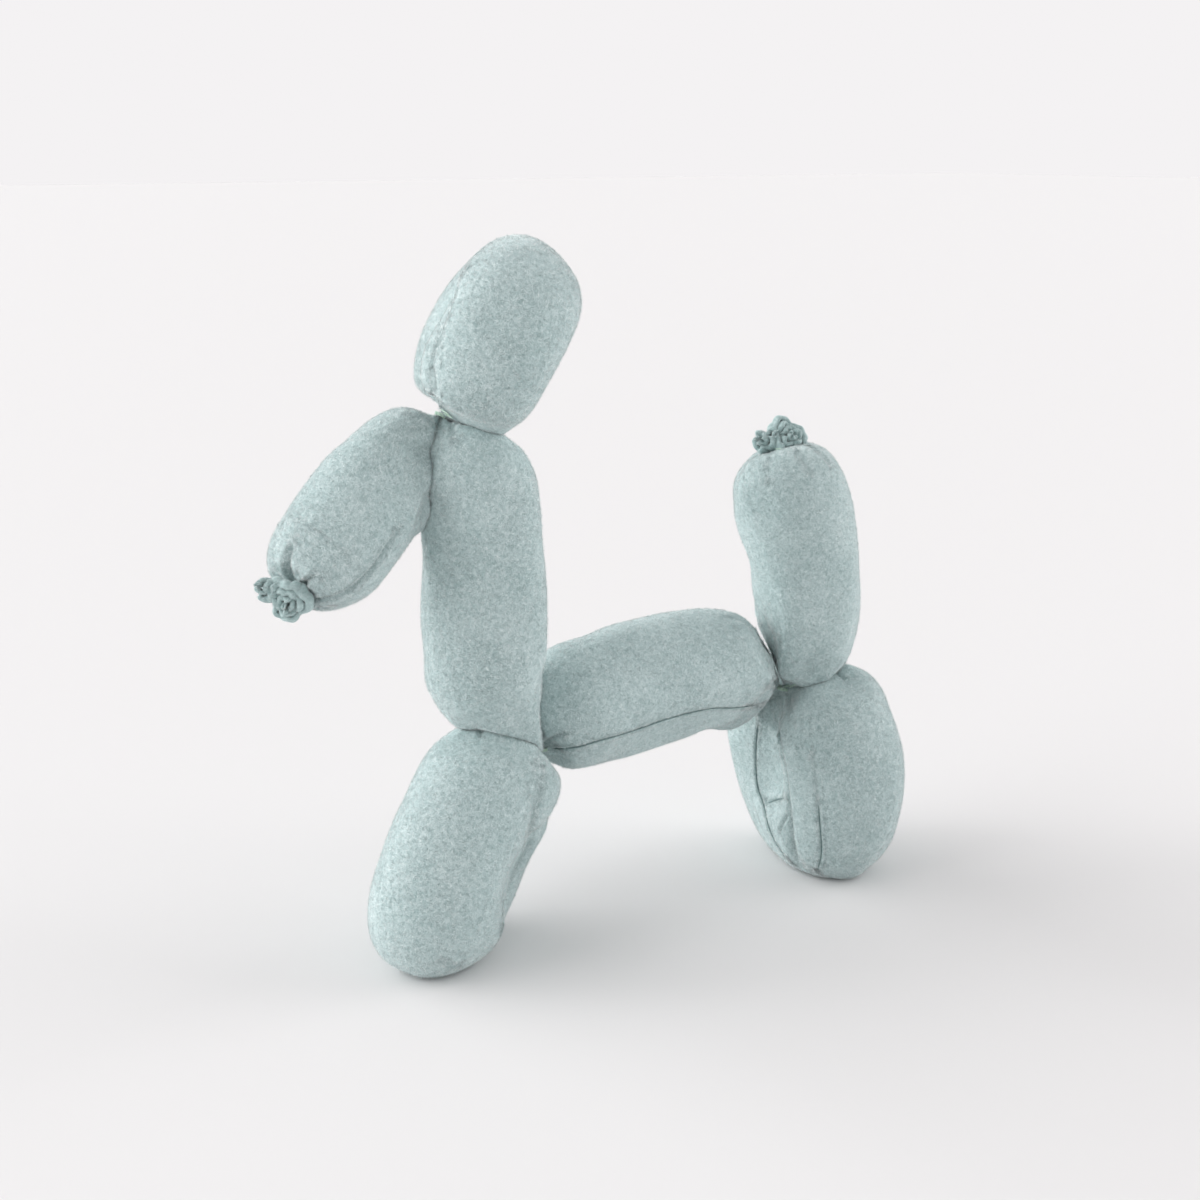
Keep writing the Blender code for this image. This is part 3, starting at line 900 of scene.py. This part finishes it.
def twisted_thread(name, dark, light):
    """Thread with its plies drawn by noise at the length of the twist."""
    material, tree, skin = new_material(name, Roughness=0.55)
    spot = add_node(tree, "ShaderNodeTexCoord").outputs["Object"]
    ply = add_node(tree, "ShaderNodeTexNoise", [(spot, "Vector")], Scale=1000 / THREAD_TWIST_MM, Detail=2.0)
    tone = colour_ramp(tree, ply.outputs["Fac"], ((0.35, dark), (0.65, light)))
    tree.links.new(tone, skin.inputs["Base Color"])
    return material


thread = twisted_thread("sewing_thread", "A3C0AE", "D2E6D6")
# This tube's dark colours are painted shadow: they stand in for the shade down in each seam's fold
seam_shadow = twisted_thread("seam_shadow", "5C7474", "7C9494")
print("threads:", thread.name, seam_shadow.name)

# %% [markdown]
# ## Gathered ends
# Beyond the last tie at the snout and at the tail, the open end of the tube is rolled up and stitched
# into a small rose. A long strip is wound in a spiral, drawn in at its foot and ruffled at its rim,
# and it gets the thickness of the cloth. A grid operator makes the strip, so its faces stay even.

# %% Rose of gathered cloth
CLOTH_MM = 2.1


def seen_at(x, y, name):
    """The point behind picture point (x, y) that is as far from the camera as a CAD node's middle."""
    middle = sum(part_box(name), Vector()) / 2
    way = sight(x, y)
    return EYE + way * ((middle - EYE).dot(PICTURE_IN) / way.dot(PICTURE_IN))


def strip(shape, middle, axis, turns, wide, tall, seed, ruffle=0.13):
    """Adds one wound strip: a tight spiral whose turns share their ruffles and lie against each other."""
    out = Vector(axis).normalized()
    side = out.cross(PICTURE_RIGHT).normalized()
    other = out.cross(side)
    p = np.random.default_rng(seed).uniform(0, 6.28, 6)
    made = bmesh.ops.create_grid(shape, x_segments=int(56 * turns), y_segments=9, size=0.5)
    for vert in made["verts"]:
        u, v = vert.co.x + 0.5, vert.co.y + 0.5
        a = 2 * math.pi * turns * (1 - u)
        r = 0.0004 + (wide - 0.0004 - CLOTH_MM / 2000) * (1 - u)
        r *= 0.50 + 0.50 * math.sin(math.pi * (0.06 + 0.74 * v))
        r *= 1 + ruffle * math.sin(3 * a + p[0] + 1.3 * v) + 0.6 * ruffle * math.sin(5 * a + p[1] - 2.1 * v)
        r *= 1 + 0.05 * math.sin(7.3 * a * (1 - u) + p[2])
        rise = tall * v * (0.66 + 0.34 * u)
        rise *= 1 + 0.09 * math.sin(4 * a + p[3]) + 0.07 * math.sin(6.4 * a + p[4])
        vert.co = middle + out * (rise - tall * 0.5) + side * (r * math.cos(a)) + other * (r * math.sin(a))


def rose(name, strips):
    """Spiral ruffles of cloth on the place of a CAD knot."""
    shape = bmesh.new()
    for (x, y), axis, turns, wide, tall, seed in strips:
        strip(shape, seen_at(x, y, name), axis, turns, wide, tall, seed)
    bmesh.ops.recalc_face_normals(shape, faces=shape.faces[:])
    piece = new_object(name + "_cloth", shape)
    thick = piece.modifiers.new("thickness", "SOLIDIFY")
    thick.thickness = CLOTH_MM / 1000
    thick.offset = 0.0
    finished(rounded(piece, 1), gathered)
    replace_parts(piece, name)
    print(piece.name, len(piece.data.polygons), "faces")
    return piece


snout_rose = rose("snout_knot", [((289, 602), (-0.70, -0.75, -0.20), 3.2, 0.0106, 0.0125, 5),
                                 ((268, 588), (-0.90, -0.30, 0.30), 1.8, 0.0068, 0.0120, 6)])
tail_rose = rose("tail_knot", [((788, 438), (-0.20, -0.80, 0.50), 3.2, 0.0112, 0.0112, 9),
                               ((777, 436), (-0.55, -0.70, 0.45), 1.6, 0.0075, 0.0105, 12),
                               ((764, 441), (-0.90, -0.25, 0.30), 1.8, 0.0070, 0.0120, 10)])

# %% [markdown]
# ## Thread at the ties
# Each tie is several turns of thread pulled into the cloth. A small circle is spun round the tie with
# a little rise on each turn, so the turns lie side by side as wound thread does.

# %% Wound thread
THREAD_MM = 0.55
TURNS = 3


def wound(name, tie, axis, radius):
    """Three turns of thread round a tie."""
    shape = bmesh.new()
    bmesh.ops.create_circle(shape, cap_ends=False, segments=8, radius=THREAD_MM / 2000)
    upright = Matrix.Rotation(math.pi / 2, 3, "X")
    bmesh.ops.rotate(shape, verts=shape.verts[:], cent=(0, 0, 0), matrix=upright)
    bmesh.ops.translate(shape, verts=shape.verts[:], vec=(radius, 0, 0))
    steps = 32 * TURNS
    bmesh.ops.spin(shape, geom=shape.verts[:] + shape.edges[:], cent=(0, 0, 0), axis=(0, 0, 1),
                   dvec=(0, 0, THREAD_MM / 1000 * 0.95 * TURNS / steps),
                   angle=2 * math.pi * TURNS, steps=steps, use_duplicate=False)
    bmesh.ops.holes_fill(shape, edges=[e for e in shape.edges if e.is_boundary], sides=0)
    bmesh.ops.translate(shape, verts=shape.verts[:], vec=(0, 0, -THREAD_MM / 2000 * TURNS))
    turn = Vector((0, 0, 1)).rotation_difference(Vector(axis)).to_matrix()
    bmesh.ops.rotate(shape, verts=shape.verts[:], cent=(0, 0, 0), matrix=turn)
    bmesh.ops.translate(shape, verts=shape.verts[:], vec=TIES[tie])
    bmesh.ops.recalc_face_normals(shape, faces=shape.faces[:])
    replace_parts(finished(new_object(name, shape), thread), tie)


wound("head_thread", "head_tie", (0.35, -0.1, 1.0), 0.0034)
wound("shoulder_thread", "shoulder_tie", (0.2, -0.1, 1.0), 0.0034)
wound("hip_thread", "hip_tie", (0.2, -0.1, 1.0), 0.0034)
print("ties wound")


# %% Painted shadow in the long seams, drawn as a thin dark tube in each groove
SEAM_MM = 0.5


def swept(shape, path, radius):
    """A round tube along a path, made by extruding one small circle from point to point."""
    steps = np.gradient(path, axis=0)
    ring = bmesh.ops.create_circle(shape, cap_ends=False, segments=6, radius=radius)["verts"]
    turn = Vector((0, 0, 1)).rotation_difference(Vector(steps[0])).to_matrix()
    bmesh.ops.rotate(shape, verts=ring, cent=(0, 0, 0), matrix=turn)
    bmesh.ops.translate(shape, verts=ring, vec=path[0])
    made = list(ring)
    edges = list({e for v in ring for e in v.link_edges})
    for before, after, a, b in zip(path, path[1:], steps, steps[1:]):
        grown = bmesh.ops.extrude_edge_only(shape, edges=edges)["geom"]
        ring = [g for g in grown if isinstance(g, bmesh.types.BMVert)]
        edges = [g for g in grown if isinstance(g, bmesh.types.BMEdge)]
        bmesh.ops.translate(shape, verts=ring, vec=after - before)
        bend = Vector(a).rotation_difference(Vector(b)).to_matrix()
        bmesh.ops.rotate(shape, verts=ring, cent=after, matrix=bend)
        made += ring
    rims = {e for v in made for e in v.link_edges if e.is_boundary}
    bmesh.ops.holes_fill(shape, edges=list(rims), sides=0)


shape = bmesh.new()
for name, corners in SEWN:
    line, along = cast(bags[name], corners)
    ends = np.minimum(np.arange(len(line)), np.arange(len(line))[::-1])[:, None]
    smooth = (line + along * (0.0001 - 0.0006 * np.clip(1 - ends / 36, 0, 1)))[2:-2]
    for _ in range(6):
        smooth[1:-1] = (smooth[:-2] + 2 * smooth[1:-1] + smooth[2:]) / 4
    if len(smooth) > 4:
        swept(shape, smooth, SEAM_MM / 2000)
bmesh.ops.recalc_face_normals(shape, faces=shape.faces[:])
# The tubes are painted shadow: their dark colour stands in for the shade in each seam
seams = finished(new_object("seams", shape), seam_shadow)
print("seams", len(SEWN), len(seams.data.polygons), "faces")

# %% Stitches that show
# Each is (start and end in the picture)
STITCHES = [((441, 413), (447, 417)), ((446, 412), (454, 416)), ((443, 408), (451, 413)),
            ((785, 687), (791, 685)), ((791, 687), (797, 684)), ((769, 452), (781, 451))]
skins = [tree_of(bag.data) for bag in bags.values()]


def stitch(shape, start, end):
    """One short pass of thread over the cloth, thin at both ends where it goes in."""
    ends = []
    for spot in (start, end):
        hits = [skin.ray_cast(EYE, sight(*spot)) for skin in skins]
        hits = sorted((hit for hit in hits if hit[0] is not None), key=lambda hit: hit[3])
        if not hits:
            return print("no cloth behind", spot)
        ends.append(hits[0])
    a, b = ends[0][0], ends[1][0]
    lift = (ends[0][1] + ends[1][1]).normalized() * 0.0012
    made = bmesh.ops.create_uvsphere(shape, u_segments=8, v_segments=10, radius=0.5)
    fit = Matrix.Diagonal((THREAD_MM / 800, THREAD_MM / 800, (b - a).length * 1.2)).to_3x3()
    turn = Vector((0, 0, 1)).rotation_difference(b - a).to_matrix()
    place = Matrix.Translation((a + b) / 2 + lift)
    bmesh.ops.transform(shape, verts=made["verts"], matrix=place @ (turn @ fit).to_4x4())


shape = bmesh.new()
for start, end in STITCHES:
    stitch(shape, start, end)
finished(new_object("stitches", shape), thread)
print("stitches", len(STITCHES))

# %% Dress the bags
for name, bag in bags.items():
    finished(bag, wool)
    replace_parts(bag, name)
print("dressed", len(bags), "bags")

# %% [markdown]
# ## The nap
# Brushing pulls short fibres out of the cloth. They lie over in clumps, catch the light and make the
# outline soft. Painted texture can't do that at the outline, and hair particles aren't kept in an
# exported part, so each small face of a copy of the cloth is cut loose and drawn out to one thin
# blade. Real wool fibre is 0.03 mm thick; it is drawn five times that so that it shows.

# %% Nap of short fibres
FIBRE_LONG_MM = 1.9
FIBRE_WIDE_MM = 0.16
NAP_CLUMP_MM = 3.5
STRETCHED_MM = 1.6
SEAM_CLEAR = 0.5
TINY = 2e-9
FINE_PATCH = 0.0020
COARSE_PATCH = 0.0038
nap_tones = []
for tone_name, tone_hex in (("wool_fibre_light", "EEF8F8"), ("wool_fibre_middle", "C9D9D9"),
                            ("wool_fibre_dark", "90A6A6")):
    nap_tones.append(new_material(tone_name, Base_Color=linear(tone_hex), Roughness=0.9, Sheen_Weight=1.0,
                                  Specular_IOR_Level=0.2, Sheen_Roughness=0.4)[0])


def wander(places, seed, size):
    """A smooth direction field that changes over about this many metres."""
    rng = np.random.default_rng(seed)
    field = np.zeros_like(places)
    for _ in range(10):
        wave = rng.normal(size=3)
        wave *= 2 * math.pi / (size * rng.uniform(0.7, 1.6)) / np.linalg.norm(wave)
        field += np.sin(places @ wave + rng.uniform(0, 6.28))[:, None] * rng.normal(size=3)
    return field / np.maximum(np.linalg.norm(field, axis=1, keepdims=True), 1e-9)


def cut_loose(name, bag, rng, thin):
    """A copy of the cloth as loose triangles, without those in a seam and a share of the others."""
    shape = bmesh.new()
    shape.from_mesh(bag.data)
    mark = shape.verts.layers.float.get("short")
    bmesh.ops.triangulate(shape, faces=shape.faces[:])
    for _ in range(2):
        wide = [e for e in shape.edges if e.calc_length() > STRETCHED_MM / 1000]
        bmesh.ops.subdivide_edges(shape, edges=wide, cuts=1)
        bmesh.ops.triangulate(shape, faces=shape.faces[:])
    chance = rng.random(len(shape.faces))
    gone = [f for f, c in zip(shape.faces, chance)
            if c > thin or f.calc_area() < TINY or (mark and max(v[mark] for v in f.verts) > SEAM_CLEAR)]
    bmesh.ops.delete(shape, geom=gone, context="FACES")
    bmesh.ops.split_edges(shape, edges=shape.edges[:])
    return new_object(name + "_nap", shape)


def tone_fibres(mesh, corners, root, rng):
    """Each fibre gets one of three tones, in the patches of a heather, and dark ones as painted shade in a
    fold.
    """
    mesh.materials.clear()
    for tone in nap_tones:
        mesh.materials.append(tone)
    # Painted shade: fibres in a marked fold take the dark tone more often
    shaded = 2.5 * values_of(mesh, "crease")[corners].mean(1) if "crease" in mesh.attributes else 0.0
    patch = wander(root, 11, FINE_PATCH)[:, 0] - shaded + 0.8 * wander(root, 12, COARSE_PATCH)[:, 1]
    patch += 0.8 * rng.normal(size=len(root))
    mesh.polygons.foreach_set("material_index", np.digitize(patch, (-0.45, 0.55)).astype(np.int32))


def nap(name, bag, seed, length=FIBRE_LONG_MM, thin=1.0):
    """One blade for each triangle of the cloth, lying over in clumps."""
    rng = np.random.default_rng(seed)
    piece = cut_loose(name, bag, rng, thin)
    mesh = piece.data
    corners = np.empty(len(mesh.loops), np.int32)
    mesh.loops.foreach_get("vertex_index", corners)
    corners = corners.reshape(-1, 3)
    places = points_of(mesh)
    three = places[corners]
    count = len(three)
    weight = rng.dirichlet((1.0, 1.0, 1.0), count)
    root = (three * weight[:, :, None]).sum(1)
    up = np.cross(three[:, 1] - three[:, 0], three[:, 2] - three[:, 0])
    up /= np.maximum(np.linalg.norm(up, axis=1, keepdims=True), 1e-12)
    lean = wander(root, 3, NAP_CLUMP_MM / 1000) + 0.7 * rng.normal(size=(count, 3))
    lean -= up * (lean * up).sum(1, keepdims=True)
    lean /= np.maximum(np.linalg.norm(lean, axis=1, keepdims=True), 1e-9)
    rise = np.radians(rng.uniform(5, 30, count))
    long = length / 1000 * rng.uniform(0.5, 1.3, count)
    if "short" in mesh.attributes:
        long *= 1 - 0.8 * np.sqrt(values_of(mesh, "short")[corners].mean(1))
    tip = root + (lean * np.cos(rise)[:, None] + up * np.sin(rise)[:, None]) * long[:, None]
    half = np.cross(lean, up) * (FIBRE_WIDE_MM / 2000 * rng.uniform(0.6, 1.3, count))[:, None]
    root -= up * 0.00015
    places[corners[:, 0]] = root - half
    places[corners[:, 1]] = root + half
    places[corners[:, 2]] = tip
    places[:, 2] = np.maximum(places[:, 2], FLOOR_GAP / 2)
    set_points(mesh, places)
    soft = up + 0.35 * rng.normal(size=(count, 3))
    soft /= np.linalg.norm(soft, axis=1, keepdims=True)
    mesh.normals_split_custom_set(np.repeat(soft, 3, axis=0).tolist())
    tone_fibres(mesh, corners, root, rng)
    for layer in list(mesh.attributes):
        if layer.name in ("crease", "short"):
            mesh.attributes.remove(layer)
    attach(piece, "root")
    print(piece.name, count, "fibres")


for number, (name, bag) in enumerate(bags.items()):
    nap(name, bag, 70 + number, thin=0.85)
nap("snout_knot", snout_rose, 81, length=0.8, thin=0.6)
nap("tail_knot", tail_rose, 82, length=0.8, thin=0.6)

# %% Fewer faces under the nap
# The fibres are rooted by now, and the cloth under them keeps its shape with a third of the faces
KEPT_SHARE = 0.35
for piece in (*bags.values(), snout_rose, tail_rose):
    fewer = piece.modifiers.new("fewer", "DECIMATE")
    fewer.ratio = KEPT_SHARE
    applied(piece)
counts = {o.name: sum(len(p.vertices) - 2 for p in o.data.polygons) for o in bpy.data.objects
          if o.type == "MESH" and not o.hide_render}
print("triangles:", sum(counts.values()), "most in", max(counts, key=counts.get), max(counts.values()))

# %% [markdown]
# ## Floor and light
# The toy stands on a pale floor in a bright white room, with walls brighter than the ceiling and a
# dimmer part behind the camera. A window at the left lights it from the front and from beside the
# wall, and the bright wall at the right gives light back. These three are very wide suns, because
# wide lights make soft shadows. The floor is just as bright as the room where the two meet.

# %% Floor, world and lamps
FLOOR_HALF = 15.0

painted = new_material("white_painted_board", Base_Color=linear("E4E3E3"), Roughness=0.8)[0]
shape = bmesh.new()
bmesh.ops.create_grid(shape, x_segments=1, y_segments=1, size=FLOOR_HALF)
floor = new_object("floor", shape)
floor.data.materials.append(painted)

world = bpy.data.worlds.new("room")
world.use_nodes = True
bpy.context.scene.world = world
# Brightness level with the toy, straight overhead, and behind the camera as a share of the rest
WALLS = 0.99
CEILING = 0.58
ROOM = 0.84
back = world.node_tree.nodes["Background"]
back.inputs["Color"].default_value = linear("F5F3F4")
way = add_node(world.node_tree, "ShaderNodeTexCoord").outputs["Generated"]
up = add_node(world.node_tree, "ShaderNodeSeparateXYZ", [(way, "Vector")]).outputs["Z"]
dimmer = add_node(world.node_tree, "ShaderNodeMapRange", [(up, "Value")],
                  From_Min=0.1, From_Max=1.0, To_Min=WALLS, To_Max=CEILING)
ahead = add_node(world.node_tree, "ShaderNodeVectorMath", [(way, 0)], operation="DOT_PRODUCT",
                 _1=tuple(FLOOR_IN))
nearer = add_node(world.node_tree, "ShaderNodeMapRange", [(ahead.outputs["Value"], "Value")],
                  From_Min=-0.9, From_Max=0.1, To_Min=ROOM, To_Max=1.0)
both = add_node(world.node_tree, "ShaderNodeMath",
                [(dimmer.outputs["Result"], 0), (nearer.outputs["Result"], 1)], operation="MULTIPLY")
world.node_tree.links.new(both.outputs["Value"], back.inputs["Strength"])


def soft_sun(name, right, toward, up, strength, wide):
    """Even light from one side of the picture: to the right, toward the camera and up."""
    data = bpy.data.lights.new(name, "SUN")
    data.energy = strength
    data.angle = math.radians(wide)
    made = bpy.data.objects.new(name, data)
    shining = FLOOR_IN * toward - PICTURE_RIGHT * right - Vector((0, 0, up))
    made.rotation_euler = shining.to_track_quat("-Z", "Y").to_euler()
    bpy.context.scene.collection.objects.link(made)


soft_sun("window", -1.0, 0.30, 0.40, 1.6, 60)
soft_sun("window_by_the_wall", -1.0, -0.45, 0.30, 2.0, 60)
soft_sun("bright_wall", 1.0, -0.30, 0.22, 1.9, 60)
bpy.context.scene.view_settings.view_transform = "Standard"
